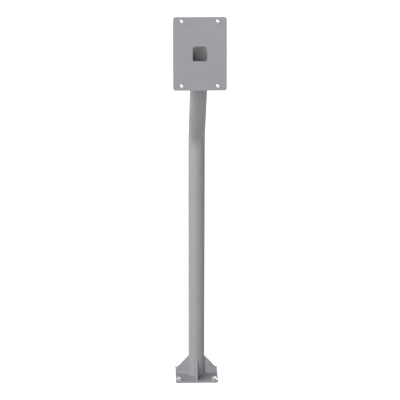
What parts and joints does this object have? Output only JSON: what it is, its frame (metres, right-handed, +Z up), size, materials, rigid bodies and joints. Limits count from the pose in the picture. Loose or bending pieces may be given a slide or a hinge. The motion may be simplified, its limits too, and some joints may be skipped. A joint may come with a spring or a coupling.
{
  "type": "gate intercom post",
  "caption": "Bent steel tube post on a stiffened base plate, with a flat upright plate at its head that carries a gate intercom within a driver's reach.",
  "frame": {"origin": "centre of the base plate's underside, on the upright's axis", "axes": "+Z up along the upright, the face plate looks to -Y, +X to its right"},
  "size_m": [0.179, 0.4699, 1.4345],
  "materials": {
    "grey_paint": "satin light grey powder coat",
    "zinc_fasteners": "bright zinc plate"
  },
  "bodies": {
    "root": {"anchor_bolt_front_left": "zinc_fasteners", "anchor_bolt_front_right": "zinc_fasteners", "anchor_bolt_rear_left": "zinc_fasteners", "anchor_bolt_rear_right": "zinc_fasteners", "anchor_washers": "zinc_fasteners", "base_plate": "grey_paint", "face_nut_lower_left": "zinc_fasteners", "face_nut_lower_right": "zinc_fasteners", "face_nut_upper_left": "zinc_fasteners", "face_nut_upper_right": "zinc_fasteners", "face_plate": "grey_paint", "face_screws": "zinc_fasteners", "foot_welds": "grey_paint", "gusset_front": "grey_paint", "gusset_left": "grey_paint", "gusset_rear": "grey_paint", "gusset_right": "grey_paint", "head_weld": "grey_paint", "post_neck": "grey_paint", "post_tube": "grey_paint"}
  },
  "joints": []
}
